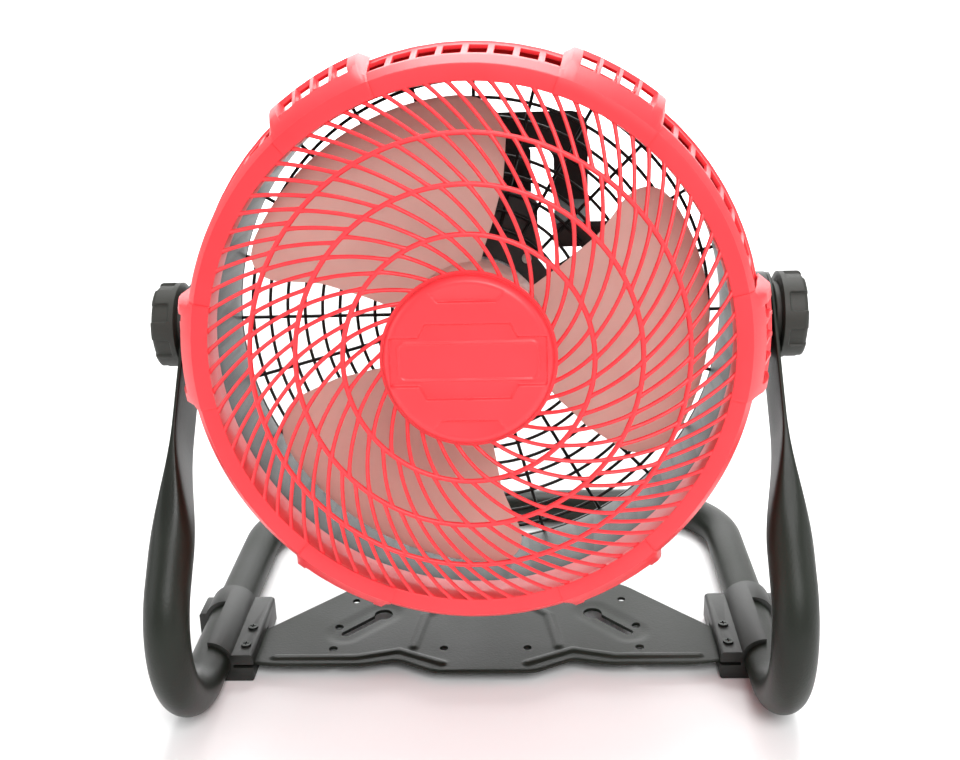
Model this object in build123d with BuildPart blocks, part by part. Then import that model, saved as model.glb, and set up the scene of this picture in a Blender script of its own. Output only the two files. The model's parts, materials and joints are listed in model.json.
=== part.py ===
"""Cordless drum fan: a tilting fan head in a bent-tube floor stand, with a slide-on battery."""
import os
from math import cos, radians, sin, tan, log, degrees, sqrt

from build123d import *

os.makedirs("parts", exist_ok=True)

# ---------------------------------------------------------------- driving dimensions (mm)
rim_radius = 165.0          # outer edge of the front rim
rim_front = 112.4           # front rim plane, ahead of the tilt axis
tilt = 6.8                  # degrees that the head leans back at rest
pivot_height = 248.0        # tilt axis above the floor
tube_radius = 14.3
tube_wall = 1.5
stand_half_width = 195.1    # middle of the fan to the middle of each leg
leg_angle = 41.6            # degrees from vertical, leaning forward
front_bend = 59.0
rear_bend = 66.0
crossbar_back = 188.6       # crossbar's centre line, behind the tilt axis
running_gap = 0.3           # between parts that move on each other
shaft_fit = 0.05            # radial clearance of a shaft in its bore

# ---------------------------------------------------------------- frame
lean = radians(leg_angle)
bend_z = tube_radius + front_bend
bend_back = (front_bend + (bend_z - pivot_height) * sin(lean)) / cos(lean)
front_reach = bend_back - front_bend - tube_radius
pivot_y = -(front_reach + crossbar_back + tube_radius) / 2
pivot = Vector(0, pivot_y, pivot_height)
forward = Vector(0, -cos(radians(tilt)), sin(radians(tilt)))

# fan: X to the right, Y up, Z forward along the air flow, from the tilt axis
fan = Plane(origin=pivot, x_dir=(1, 0, 0), z_dir=forward)
fan_axis = Axis(pivot, forward)
# half_section: X is the radius, Y is forward
half_section = Plane(origin=pivot, x_dir=(1, 0, 0), z_dir=-fan.y_dir)
# across: looking along X, with X up and Y forward
across = Plane(origin=pivot, x_dir=fan.y_dir, z_dir=(1, 0, 0))


def write(part, name):
    """Label a finished piece and write its STEP file."""
    part.label = name
    export_step(part, f"parts/{name}.step")


def polar(radius, angle):
    """A point in the fan's plane."""
    return (radius * cos(radians(angle)), radius * sin(radians(angle)))


def turned(*outline):
    """A solid of revolution about the fan's axis, from a (radius, forward) outline."""
    with BuildPart() as ring:
        with BuildSketch(half_section):
            with BuildLine():
                Polyline(*outline, close=True)
            make_face()
        revolve(axis=fan_axis)
    return ring.part


# ---------------------------------------------------------------- stand tube
pressed_half_width = 22.5   # the flattened end of the tube
pressed_half_thickness = 1.5
press_start = 158.0         # along the leg from the pivot, still round
press_end = 78.0            # along the leg from the pivot, fully flat
stud_radius = 4.0


def on_leg(distance, side=1):
    """A point on a leg's centre line, a distance down from the tilt axis."""
    return Vector(side * stand_half_width, pivot_y - distance * sin(lean), pivot_height - distance * cos(lean))


def leg_plane(distance, side=1):
    """A plane square to the leg, X across the stand."""
    return Plane(origin=on_leg(distance, side), x_dir=(1, 0, 0), z_dir=(0, -sin(lean), -cos(lean)))


def pressed_outline(plane, half_x, half_y, corner_x, corner_y):
    """A closed four-arc outline that can be a circle or a flattened tube."""
    with BuildSketch(plane) as outline:
        with BuildLine():
            ThreePointArc((-corner_x, -corner_y), (0, -half_y), (corner_x, -corner_y))
            ThreePointArc((corner_x, -corner_y), (half_x, 0), (corner_x, corner_y))
            ThreePointArc((corner_x, corner_y), (0, half_y), (-corner_x, corner_y))
            ThreePointArc((-corner_x, corner_y), (-half_x, 0), (-corner_x, -corner_y))
        make_face()
    return outline.sketch


def pressed_end(side, inset, thin):
    """The stretch where the round tube is pressed flat, reduced all round by an inset."""
    radius = tube_radius - inset
    diagonal = radius * sqrt(0.5)
    wide = pressed_half_width - inset
    with BuildPart() as stretch:
        add(pressed_outline(leg_plane(press_start, side), radius, radius, diagonal, diagonal))
        add(pressed_outline(leg_plane((press_start + press_end) / 2, side),
                            radius * 0.66, radius * 1.2, radius * 0.5, radius * 0.98))
        add(pressed_outline(leg_plane(press_end, side), thin, wide, thin * 0.9, wide - thin))
        loft()
    return stretch.part


def tube_corners():
    """Corners of the centre line: down one leg, back along the floor, across and up the other."""
    heel_y = pivot_y - (pivot_height - tube_radius) * tan(lean)
    back_y = pivot_y + crossbar_back
    left, right = -stand_half_width, stand_half_width
    return [on_leg(press_start, -1), (left, heel_y, tube_radius), (left, back_y, tube_radius),
            (right, back_y, tube_radius), (right, heel_y, tube_radius), on_leg(press_start, 1)]


with BuildPart() as stand_tube:
    with BuildLine() as centre_line:
        FilletPolyline(*tube_corners(), radius=[front_bend, rear_bend, rear_bend, front_bend])
    with BuildSketch(leg_plane(press_start, -1)):
        Circle(tube_radius)
        Circle(tube_radius - tube_wall, mode=Mode.SUBTRACT)
    sweep(path=centre_line.wires()[0])
    for side in (-1, 1):
        add(pressed_end(side, 0, pressed_half_thickness))
        add(pressed_end(side, tube_wall, 0.4), mode=Mode.SUBTRACT)
        tab_plane = Plane(origin=on_leg(0, side) - Vector(pressed_half_thickness, 0, 0),
                          x_dir=(0, -sin(lean), -cos(lean)), z_dir=(1, 0, 0))
        with BuildSketch(tab_plane):
            with Locations((press_end / 2, 0)):
                Rectangle(press_end, 2 * pressed_half_width)
            Ellipse(30, pressed_half_width)
            Circle(stud_radius + shaft_fit, mode=Mode.SUBTRACT)
        extrude(amount=2 * pressed_half_thickness)
write(stand_tube.part, "stand_tube")

# ---------------------------------------------------------------- base plate and tube clips
plate_thickness = 2.5
plate_bottom = 11.0
clip_outer = tube_radius + 3.4
clip_foot = 0.5             # clearance of a clip's underside above the floor
clip_inside = 31.0          # from the tube's centre to the inner side of a clip
clip_height = 21.5
prong_thickness, prong_length = 7.2, 24.0
clip_front, clip_back = pivot_y - 58.0, pivot_y + 22.0
plate_edge = stand_half_width - clip_inside + 14.0      # the plate runs into the clips
mount_half_x, mount_half_y, mount_y = 110.0, 15.0, pivot_y - 23.0
mount_hole_radius = 3.2
wing_front, nose_front = pivot_y - 58.0, pivot_y - 67.0
screw_radius = 1.9
clip_screw_y = (pivot_y - 45.0, pivot_y - 22.0)

with BuildPart() as base_plate:
    with BuildSketch(Plane.XY.offset(plate_bottom)):
        with BuildLine():
            half = [(0, nose_front), (35, nose_front), (62, pivot_y - 52), (88, wing_front),
                    (150, wing_front + 1), (plate_edge, wing_front + 6), (plate_edge, pivot_y - 15),
                    (167, pivot_y - 14), (106, pivot_y + 50), (60, pivot_y + 72), (0, pivot_y + 72)]
            Polyline(*half)
            mirror(about=Plane.YZ)
        make_face()
    extrude(amount=plate_thickness)
    with BuildSketch(Plane.XY.offset(plate_bottom + plate_thickness)):
        for side in (-1, 1):
            with BuildLine(mode=Mode.PRIVATE) as rib_line:
                Polyline((side * 150, wing_front + 8), (side * 92, wing_front + 8),
                         (side * 62, pivot_y - 42), (side * 30, nose_front + 9))
            trace(rib_line.line, line_width=3)
            with BuildLine(mode=Mode.PRIVATE) as arch_line:
                Polyline((side * 52, pivot_y - 36), (side * 46, pivot_y + 6), (side * 22, pivot_y + 30),
                         (side * 22, pivot_y + 62))
            trace(arch_line.line, line_width=4)
    extrude(amount=1.4)
    with BuildSketch(Plane.XY.offset(plate_bottom)):
        for side in (-1, 1):
            with Locations((side * 91.5, pivot_y - 3.5)):
                SlotCenterToCenter(36, 7, rotation=side * -47)
            with Locations((side * 79, pivot_y + 10)):
                Circle(7)
            with Locations((side * mount_half_x, mount_y - mount_half_y),
                           (side * mount_half_x, mount_y + mount_half_y)):
                Circle(mount_hole_radius)
            with Locations((side * 30, pivot_y - 38), (side * 102, pivot_y + 28)):
                Circle(3)
            with Locations(*[(side * (plate_edge - 7), y) for y in clip_screw_y]):
                Circle(screw_radius + 0.1)
    extrude(amount=plate_thickness, mode=Mode.SUBTRACT)
write(base_plate.part, "base_plate")


def tube_clip(side):
    """A saddle over the floor rail: a long block inside it holds the plate, a short one grips outside."""
    tube_x = side * stand_half_width
    block_x = side * (stand_half_width - clip_inside / 2)
    prong_x = side * (stand_half_width + tube_radius + prong_thickness / 2)
    pocket_x = side * (plate_edge + running_gap)
    with BuildPart() as clip:
        with BuildSketch(Plane.XZ.offset(-clip_back)):
            with Locations((tube_x, tube_radius)):
                Circle(clip_outer)
            with Locations((tube_x + side * 25, tube_radius)):
                Rectangle(50, 60, mode=Mode.SUBTRACT)
            with Locations((block_x, clip_height / 2)):
                RectangleRounded(clip_inside, clip_height, 3)
        extrude(amount=clip_back - clip_front)
        with BuildSketch(Plane.XZ.offset(-clip_back)):
            with Locations((tube_x, tube_radius)):
                Circle(clip_outer)
            with Locations((prong_x, clip_height / 2)):
                RectangleRounded(prong_thickness, clip_height, 2)
        extrude(amount=prong_length)
        with BuildSketch(Plane.XZ.offset(-clip_back - 1)):
            with Locations((tube_x, tube_radius)):
                Circle(tube_radius + shaft_fit)
        extrude(amount=clip_back - clip_front + 2, mode=Mode.SUBTRACT)
        with BuildSketch(Plane.XY.offset(clip_foot)):
            with Locations((tube_x, pivot_y)):
                Rectangle(120, 400)
        extrude(amount=-20, mode=Mode.SUBTRACT)
        with BuildSketch(Plane.XY.offset(plate_bottom - 0.02)):
            with Locations((pocket_x - side * 30, (clip_front + pivot_y - 8) / 2)):
                Rectangle(60, pivot_y - 8 - clip_front + 4)
        extrude(amount=plate_thickness + 0.04, mode=Mode.SUBTRACT)
        with BuildSketch(Plane.XY.offset(3)):
            with Locations(*[(side * (plate_edge - 7), y) for y in clip_screw_y]):
                Circle(screw_radius)
        extrude(amount=20, mode=Mode.SUBTRACT)
    return clip.part


write(tube_clip(-1), "tube_clip_left")
write(tube_clip(1), "tube_clip_right")


def screw(plane, places, radius, length, head_radius, head_height, driver=1.0):
    """Pan-head screws: each stands on the plane at its place, the shank going against the normal."""
    with BuildPart(plane) as group:
        with Locations(*places):
            Cylinder(head_radius, head_height, align=(Align.CENTER, Align.CENTER, Align.MIN))
            Cylinder(radius, length, align=(Align.CENTER, Align.CENTER, Align.MAX))
        with Locations(*[(x, y, head_height) for x, y in places]):
            for turn in (0, 90):
                Box(head_radius * 1.2, driver, head_height * 0.9, rotation=(0, 0, turn),
                    align=(Align.CENTER, Align.CENTER, Align.MAX), mode=Mode.SUBTRACT)
    return group.part


clip_screw_places = [(side * (plate_edge - 7), y) for side in (-1, 1) for y in clip_screw_y]
write(screw(Plane.XY.offset(clip_height), clip_screw_places, screw_radius, 18, 3.6, 1.6), "clip_screws")

# ---------------------------------------------------------------- front grille
rim_inner = 155.3
lug_half_angle = 11.25
lug_angles = [60 * k for k in range(6)]
lug_slot_pitch = 4.1
grille_rings = [(72.1, 19.3), (99.7, 18.2), (127.5, 11.0)]      # radius, height ahead of the rim
hub_radius, hub_rise = 51.0, 15.0
spoke_counts = [30, 40, 60, 80]                                 # from the hub outwards
spoke_phases = [6.6, 0.0, -1.4, 1.9]                            # degrees that each zone starts at
spoke_width, grille_depth = 2.4, 2.8
swirl = 0.9                                                     # tangent of the spokes' slant


def swirled(radius, start_radius):
    """Degrees that a spoke has turned on its way out: a logarithmic spiral."""
    return degrees(swirl * log(radius / start_radius))


def spoke(inner, outer):
    """One curved spoke between two radii, as a thin arc-sided strip."""
    middle = (inner + outer) / 2
    with BuildSketch() as strip:
        with BuildLine() as line:
            ThreePointArc(polar(inner, 0), polar(middle, swirled(middle, inner)),
                          polar(outer, swirled(outer, inner)))
        trace(line.line, line_width=spoke_width)
    return strip.sketch


def radial_plane(angle):
    """The plane through the fan's axis at an angle: X is the radius, Y is forward."""
    outwards = fan.x_dir * cos(radians(angle)) + fan.y_dir * sin(radians(angle))
    return Plane(origin=pivot, x_dir=outwards, z_dir=outwards.cross(forward))


def slots(angles, low, high, half_width):
    """Blocks that cut windows through a wall, from one (radius, forward) corner to the other."""
    with BuildPart() as blocks:
        for angle in angles:
            with BuildSketch(radial_plane(angle)):
                with Locations(((low[0] + high[0]) / 2, (low[1] + high[1]) / 2)):
                    Rectangle(high[0] - low[0], high[1] - low[1])
            extrude(amount=half_width, both=True)
    return blocks.part


def lug(angle):
    """A clip of the grille that steps over the rim and back over the shroud, with four slots."""
    with BuildPart() as block:
        with BuildSketch(radial_plane(angle - lug_half_angle)):
            with BuildLine():
                Polyline((rim_inner, rim_front - 2), (rim_inner, rim_front + 1), (rim_radius, rim_front + 1),
                         (177, 97.5), (184, 74), (186, 62), (186, 51), (183, 51), (183, 62), (181, 73.5),
                         (174.6, 96), (171.5, 98), (167, 98), (164, rim_front - 2), close=True)
            make_face()
        revolve(axis=fan_axis, revolution_arc=2 * lug_half_angle)
        slot_angles = [angle + lug_slot_pitch * (k - 1.5) for k in range(4)]
        add(slots(slot_angles, (174, 58), (190, 90), 4.4), mode=Mode.SUBTRACT)
    return block.part


zone_edges = [hub_radius - 1.5] + [radius for radius, rise in grille_rings] + [rim_inner + 1.5]

with BuildPart() as front_grille:
    with BuildSketch(fan.offset(rim_front - 12)):
        Circle(rim_inner + 1.5)
        Circle(rim_inner - 2.0, mode=Mode.SUBTRACT)
        for radius, rise in grille_rings:
            with BuildSketch(mode=Mode.PRIVATE) as band:
                Circle(radius + 1.5)
                Circle(radius - 1.5, mode=Mode.SUBTRACT)
            add(band.sketch)
        Circle(hub_radius)
        for count, phase, inner, outer in zip(spoke_counts, spoke_phases, zone_edges, zone_edges[1:]):
            with PolarLocations(0, count, start_angle=phase):
                add(spoke(inner, outer))
    extrude(amount=45)
    with BuildSketch(half_section):
        with BuildLine():
            dome = [(hub_radius, hub_rise)] + grille_rings + [(rim_inner + 1.5, -2.0)]
            top = [(radius, rim_front + rise + grille_depth / 2) for radius, rise in dome]
            low = [(radius, rim_front + rise - grille_depth / 2) for radius, rise in dome]
            Polyline((0, low[0][1]), (0, top[0][1]), top[0])
            Spline(*top)
            Line(top[-1], low[-1])
            Spline(*low[::-1])
            Line(low[0], (0, low[0][1]))
        make_face()
    revolve(axis=fan_axis, mode=Mode.INTERSECT)
    add(turned((rim_inner, rim_front), (rim_radius, rim_front), (170, 104), (170, 98), (167.5, 98),
               (167.5, 103), (164, 109.4), (158.3, 109.4), (157.6, 98), (rim_inner, 98)))
    for angle in lug_angles:
        add(lug(angle))
write(front_grille.part, "front_grille")

with BuildPart() as grille_cap:
    with BuildSketch(fan.offset(rim_front + hub_rise + grille_depth / 2)):
        Circle(49.5)
    extrude(amount=7)
    fillet(grille_cap.faces().sort_by(fan_axis)[-1].edges(), 5)
    with BuildSketch(fan.offset(rim_front + hub_rise + grille_depth / 2 + 7)):
        with BuildLine():
            Polyline((-44.8, -14), (-28.3, -14), (-24.2, -21.8), (24.2, -21.8), (28.3, -14), (44.8, -14),
                     (44.8, 14), (28.3, 14), (24.2, 21.8), (-24.2, 21.8), (-28.3, 14), (-44.8, 14), close=True)
        make_face()
    extrude(amount=-1.2, mode=Mode.SUBTRACT)
    with BuildSketch(fan.offset(rim_front + hub_rise + grille_depth / 2 + 5.8)):
        RectangleRounded(80, 21.7, 4)
        RectangleRounded(77, 18.7, 3, mode=Mode.SUBTRACT)
    extrude(amount=0.6)
write(grille_cap.part, "grille_cap")

# ---------------------------------------------------------------- front shroud
shroud_joint = 33.0         # forward of the tilt axis, where the red and black halves meet
drum_radius = 178.0
drum_wall = 2.6
duct_joint = 70.0           # where the red and black halves of the inner duct meet
window_pitch = 4.6
window_angles = [60 * k + 30 + window_pitch * (n - 3.5) for k in range(6) for n in range(8)]
lug_window_angles = [a + lug_slot_pitch * (k - 1.5) for a in lug_angles for k in range(4)]

with BuildPart() as front_shroud:
    add(turned((170, 97.9), (180, 55), (182.4, 54), (182.4, 49), (drum_radius, 48),
               (drum_radius, shroud_joint), (drum_radius - drum_wall, shroud_joint),
               (drum_radius - drum_wall, 47), (177.4, 55), (167.5, 97.9)))
    add(turned((158, 97.9), (160, 97.9), (162.5, duct_joint + 0.1), (160.5, duct_joint + 0.1)))
    add(turned((158, 95.9), (169, 95.9), (169, 97.9), (158, 97.9)))
    add(turned((164.9, 46), (176.5, 46), (176.5, 48.5), (164.9, 48.5)))
    add(slots(window_angles, (166, 60), (184, 90), 5.2), mode=Mode.SUBTRACT)
    add(slots(lug_window_angles, (166, 62), (184, 90), 4.4), mode=Mode.SUBTRACT)
write(front_shroud.part, "front_shroud")

# ---------------------------------------------------------------- rear housing and pivots
boss_radius = 29.0
boss_face = 192.0           # from the middle of the fan to a boss's outer face
boss_root = 174.4
washer_thickness = 1.3
stud_head_depth = 5.5
grille_back = -26.5         # the rear grille's outer ring sits on this plane
grille_lip = 168.5
rim_screw_places = [polar(171.3, 30 + 60 * k) for k in range(6)]


def across_at(distance):
    """A plane square to the tilt axis."""
    return across.offset(distance)


with BuildPart() as rear_housing:
    add(turned((drum_radius, shroud_joint - 0.1), (drum_radius, -20), (177.4, -26), (175.5, -29),
               (grille_lip, -29), (grille_lip, grille_back), (174.4, grille_back), (175.2, -25),
               (drum_radius - drum_wall, -20), (drum_radius - drum_wall, shroud_joint - 0.1)))
    add(turned((161, duct_joint - 0.1), (163, duct_joint - 0.1), (168.5, -20), (166.5, -20)))
    add(turned((164.5, 28), (176.5, 28), (176.5, 30.5), (164.5, 30.5)))
    with BuildSketch(fan.offset(grille_back)):
        with Locations(*rim_screw_places):
            Circle(screw_radius)
    extrude(amount=-3, mode=Mode.SUBTRACT)
    for side in (-1, 1):
        with BuildSketch(across_at(side * boss_root)):
            Circle(boss_radius)
        extrude(amount=side * (boss_face - boss_root))
        with BuildSketch(across_at(side * boss_root)):
            RegularPolygon(7.51, 6)
        extrude(amount=side * stud_head_depth, mode=Mode.SUBTRACT)
        with BuildSketch(across_at(side * boss_root)):
            Circle(stud_radius)
        extrude(amount=side * (boss_face - boss_root), mode=Mode.SUBTRACT)
write(rear_housing.part, "rear_housing")

tab_outer = stand_half_width + pressed_half_thickness

with BuildPart() as pivot_studs:
    for side in (-1, 1):
        with BuildSketch(across_at(side * boss_root)):
            RegularPolygon(7.5, 6)
        extrude(amount=side * stud_head_depth)
        with BuildSketch(across_at(side * (boss_root + 1))):
            Circle(stud_radius)
        extrude(amount=side * (210 - boss_root - 1))
write(pivot_studs.part, "pivot_studs")

with BuildPart() as friction_washers:
    for side in (-1, 1):
        with BuildSketch(across_at(side * boss_face)):
            Circle(21)
            Circle(stud_radius + shaft_fit, mode=Mode.SUBTRACT)
        extrude(amount=side * washer_thickness)
write(friction_washers.part, "friction_washers")

# ---------------------------------------------------------------- clamp knobs
knob_radius = 29.0
knob_face = 216.8
knob_start = tab_outer + running_gap
insert_radius = 7.0
insert_length = 14.0
knob_flats, flat_width, flat_depth = 7, 13.0, 1.7
flat_phase = 56.0


def knob(side):
    """A clamp knob with a narrow flange towards the tube and grip flats round its rim."""
    with BuildPart() as body:
        with BuildSketch(across_at(side * knob_start)):
            Circle(22)
        extrude(amount=side * 4)
        with BuildSketch(across_at(side * (knob_start + 3.4))):
            Circle(knob_radius)
        extrude(amount=side * (knob_face - knob_start - 3.4))
        outer = body.faces().sort_by(Axis.X)[-1 if side > 0 else 0]
        fillet(outer.edges(), 3)
        with BuildSketch(across_at(side * (knob_start + 8))):
            with PolarLocations(knob_radius, knob_flats, start_angle=flat_phase):
                RectangleRounded(2 * flat_depth, flat_width, 1)
        extrude(amount=side * 20, mode=Mode.SUBTRACT)
        with BuildSketch(across_at(side * knob_start)):
            Circle(insert_radius)
        extrude(amount=side * insert_length, mode=Mode.SUBTRACT)
    return body.part


def knob_insert(side):
    """The threaded brass insert moulded into a knob."""
    with BuildPart() as bush:
        with BuildSketch(across_at(side * knob_start)):
            Circle(insert_radius)
            Circle(stud_radius + shaft_fit, mode=Mode.SUBTRACT)
        extrude(amount=side * insert_length)
    return bush.part


for side, name in ((-1, "left"), (1, "right")):
    write(knob(side), f"knob_{name}")
    write(knob_insert(side), f"knob_insert_{name}")

# ---------------------------------------------------------------- rear grille
centre_disc = 56.0
grille_sheet = 3.0
guard_outer, guard_inner = 174.2, 167.0
first_ring, ring_pitch, ring_count = 61.0, 12.3, 9
rear_rib_count, rib_width = 24, 2.4
handle_foot_x, handle_foot_y = 99.5, 53.5
lead_place, lead_hole = (24, 0), 4.0
pod_screw_places = [(x, y) for x in (-34, 34) for y in (-40, 38)]
motor_screw_places = [polar(34, 45 + 90 * k) for k in range(4)]
handle_screw_places = [(-handle_foot_x, handle_foot_y), (handle_foot_x, handle_foot_y)]

with BuildPart() as rear_grille:
    with BuildSketch(fan.offset(grille_back)):
        Circle(guard_outer)
        Circle(guard_inner, mode=Mode.SUBTRACT)
        for k in range(ring_count):
            with BuildSketch(mode=Mode.PRIVATE) as band:
                Circle(first_ring + ring_pitch * k + rib_width / 2)
                Circle(first_ring + ring_pitch * k - rib_width / 2, mode=Mode.SUBTRACT)
            add(band.sketch)
        Circle(centre_disc)
        with PolarLocations((centre_disc + guard_inner) / 2, rear_rib_count):
            Rectangle(guard_inner - centre_disc + 4, rib_width)
        with Locations(*handle_screw_places):
            Circle(11)
        with Locations(*motor_screw_places, *pod_screw_places, *rim_screw_places, *handle_screw_places):
            Circle(screw_radius + 0.1, mode=Mode.SUBTRACT)
        with Locations(lead_place):
            Circle(lead_hole, mode=Mode.SUBTRACT)
    extrude(amount=grille_sheet)
write(rear_grille.part, "rear_grille")
write(screw(fan.offset(grille_back + grille_sheet), rim_screw_places, screw_radius, 5.4, 2.6, 1.6), "grille_screws")

# ---------------------------------------------------------------- motor
grille_face = grille_back + grille_sheet
bracket_radius, bracket_sheet = 40.0, 4.0
bracket_face = grille_face + bracket_sheet
bearing_radius, bearing_width = 8.0, 5.0
shaft_radius = 4.0
bearing_starts = (bracket_face + 1.5, 18.0)
bracket_end = 24.0
stator_inner, stator_outer = 11.0, 30.0
stator_low, stator_high = -10.0, 16.0
stator_teeth = 12
bell_outer, bell_wall, bell_low, bell_front = 36.0, 2.0, -12.0, 29.0
bell_hub_end = 33.0

with BuildPart() as motor_bracket:
    with BuildSketch(fan.offset(grille_face)):
        Circle(bracket_radius)
        with Locations(*motor_screw_places):
            Circle(screw_radius, mode=Mode.SUBTRACT)
        with Locations(lead_place):
            Circle(lead_hole, mode=Mode.SUBTRACT)
    extrude(amount=bracket_sheet)
    with BuildSketch(fan.offset(bracket_face)):
        Circle(stator_inner)
    extrude(amount=bracket_end - bracket_face)
    with BuildSketch(fan.offset(grille_face)):
        Circle(6.5)
    extrude(amount=bracket_end - grille_face, mode=Mode.SUBTRACT)
    for start, depth in ((bearing_starts[0], bearing_width), (bearing_starts[1], bracket_end - bearing_starts[1])):
        with BuildSketch(fan.offset(start)):
            Circle(bearing_radius)
        extrude(amount=depth, mode=Mode.SUBTRACT)
write(motor_bracket.part, "motor_bracket")
write(screw(fan.offset(bracket_face), motor_screw_places, screw_radius, 6.5, 3.4, 1.6), "motor_screws")

with BuildPart() as motor_bearings:
    for start in bearing_starts:
        with BuildSketch(fan.offset(start)):
            Circle(bearing_radius)
            Circle(shaft_radius + shaft_fit, mode=Mode.SUBTRACT)
        extrude(amount=bearing_width)
write(motor_bearings.part, "motor_bearings")

with BuildPart() as motor_stator:
    with BuildSketch(fan.offset(stator_low)):
        Circle(stator_outer)
        Circle(27, mode=Mode.SUBTRACT)
        Circle(14.5)
        with PolarLocations(21, stator_teeth):
            Rectangle(14, 4)
        with PolarLocations(28, stator_teeth, start_angle=15):
            Rectangle(6, 2.5, mode=Mode.SUBTRACT)
        Circle(stator_inner, mode=Mode.SUBTRACT)
    extrude(amount=stator_high - stator_low)
write(motor_stator.part, "motor_stator")

with BuildPart() as stator_coils:
    with BuildSketch(fan.offset(stator_low - 2.5)):
        with PolarLocations(21, stator_teeth):
            RectangleRounded(10, 6.6, 1.2)
    extrude(amount=stator_high - stator_low + 5)
    with BuildSketch(fan.offset(stator_low)):
        with PolarLocations(21, stator_teeth):
            Rectangle(14, 4.1)
    extrude(amount=stator_high - stator_low, mode=Mode.SUBTRACT)
write(stator_coils.part, "stator_coils")

with BuildPart() as motor_bell:
    add(turned((bell_outer, bell_low), (bell_outer, bell_front), (9, bell_front), (9, bell_hub_end),
               (shaft_radius, bell_hub_end), (shaft_radius, bell_front - 2.5),
               (bell_outer - bell_wall, bell_front - 2.5), (bell_outer - bell_wall, bell_low)))
write(motor_bell.part, "motor_bell")
write(turned((31, stator_low), (34, stator_low), (34, stator_high + 2), (31, stator_high + 2)), "rotor_magnets")

nut_start = 80.0
with BuildPart() as motor_shaft:
    with BuildSketch(fan.offset(bracket_face + 1)):
        Circle(shaft_radius)
    extrude(amount=nut_start + 8 - bracket_face - 1)
write(motor_shaft.part, "motor_shaft")

with BuildPart() as blade_nut:
    with BuildSketch(fan.offset(nut_start)):
        RegularPolygon(7.5, 6)
        Circle(shaft_radius, mode=Mode.SUBTRACT)
    extrude(amount=6)
write(blade_nut.part, "blade_nut")

# ---------------------------------------------------------------- fan blades
hub_wall = 3.0
blade_hub_radius = 46.0
blade_tip = 148.5
blade_middle = 58.0
blade_sheet = 2.2
blade_angles = (2, 122, 242)


def blade(angle):
    """One broad blade: its outline seen from the front, cut from a cambered, pitched sheet."""
    face_on = Plane(origin=pivot, x_dir=radial_plane(angle).x_dir, z_dir=forward).offset(blade_middle - 30)
    edge_on = Plane(origin=pivot, x_dir=face_on.y_dir, z_dir=face_on.x_dir).offset(30)
    with BuildPart() as sheet:
        with BuildSketch(face_on):
            with BuildLine():
                ThreePointArc(polar(blade_tip, -41), (blade_tip, 0), polar(blade_tip, 43))
                Spline(polar(blade_tip, 43), polar(100, 37), polar(43, 38))
                Line(polar(43, 38), polar(43, -38))
                Spline(polar(43, -38), polar(95, -44), polar(blade_tip, -41))
            make_face()
            fillet(vertices().sort_by_distance(face_on.origin)[-2:], 28)
        extrude(amount=60)
        with BuildSketch(edge_on):
            with BuildLine():
                ThreePointArc((-115, blade_middle - 20), (0, blade_middle - 6), (115, blade_middle + 20))
            trace(line_width=blade_sheet)
        extrude(amount=130, mode=Mode.INTERSECT)
    return sheet.part


with BuildPart() as fan_blades:
    add(turned((blade_hub_radius, bell_hub_end + 1), (blade_hub_radius, 74), (42, nut_start - 0.1),
               (shaft_radius, nut_start - 0.1), (shaft_radius, bell_hub_end), (12, bell_hub_end),
               (12, nut_start - hub_wall), (40, nut_start - hub_wall), (43, 73), (43, bell_hub_end + 1)))
    for angle in blade_angles:
        add(blade(angle))
write(fan_blades.part, "fan_blades")

# ---------------------------------------------------------------- control pod
pod_half_width, pod_low, pod_high = 42.0, -58.0, 82.0
pod_wall = 2.5
pod_back = -66.0
cover_sheet = 3.0
head_seat = 1.7             # depth of the seats that sink the cover screws
cover_back = pod_back - cover_sheet
pod_middle = (pod_low + pod_high) / 2
cover_screw_places = [(x, y) for x in (-36, 36) for y in (pod_low + 6, pod_high - 6)]
dial_y = -36.0
rail_x, rail_width, rail_depth = 25.0, 5.0, 5.0
terminal_half_width = 12.0
board_face = -42.0
board_posts = [(-26, 6), (-26, 46), (26, 46)]

with BuildPart() as control_pod:
    with BuildSketch(fan.offset(grille_back)):
        with Locations((0, pod_middle)):
            RectangleRounded(2 * pod_half_width, pod_high - pod_low, 10)
    extrude(amount=pod_back - grille_back)
    with BuildSketch(fan.offset(pod_back)):
        with Locations((0, pod_middle)):
            RectangleRounded(2 * (pod_half_width - pod_wall), pod_high - pod_low - 2 * pod_wall, 8)
        with Locations(*cover_screw_places):
            Circle(4.5, mode=Mode.SUBTRACT)
    extrude(amount=grille_back - pod_back - 3, mode=Mode.SUBTRACT)
    with BuildSketch(fan.offset(grille_back - 3)):
        with Locations(*board_posts):
            Circle(3)
    extrude(amount=board_face - grille_back + 3)
    with BuildSketch(fan.offset(grille_back)):
        with Locations(lead_place):
            Circle(lead_hole)
        with Locations(*pod_screw_places):
            Circle(screw_radius)
    extrude(amount=-3, mode=Mode.SUBTRACT)
    with BuildSketch(fan.offset(pod_back)):
        with Locations(*cover_screw_places):
            Circle(screw_radius)
    extrude(amount=10, mode=Mode.SUBTRACT)
write(control_pod.part, "control_pod")
write(screw(fan.offset(grille_face), pod_screw_places, screw_radius, 5.9, 3.4, 1.6), "pod_screws")

with BuildPart() as control_board:
    with BuildSketch(fan.offset(board_face)):
        with Locations((0, 26)):
            Rectangle(64, 56)
    extrude(amount=-1.6)
    with BuildSketch(fan.offset(board_face - 1.6)):
        with Locations((-20, 34), (-6, 34), (8, 34), (20, 22)):
            Rectangle(8, 10)
        with Locations((-18, 14), (-4, 14)):
            Circle(5)
    extrude(amount=-8)
write(control_board.part, "control_board")

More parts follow.
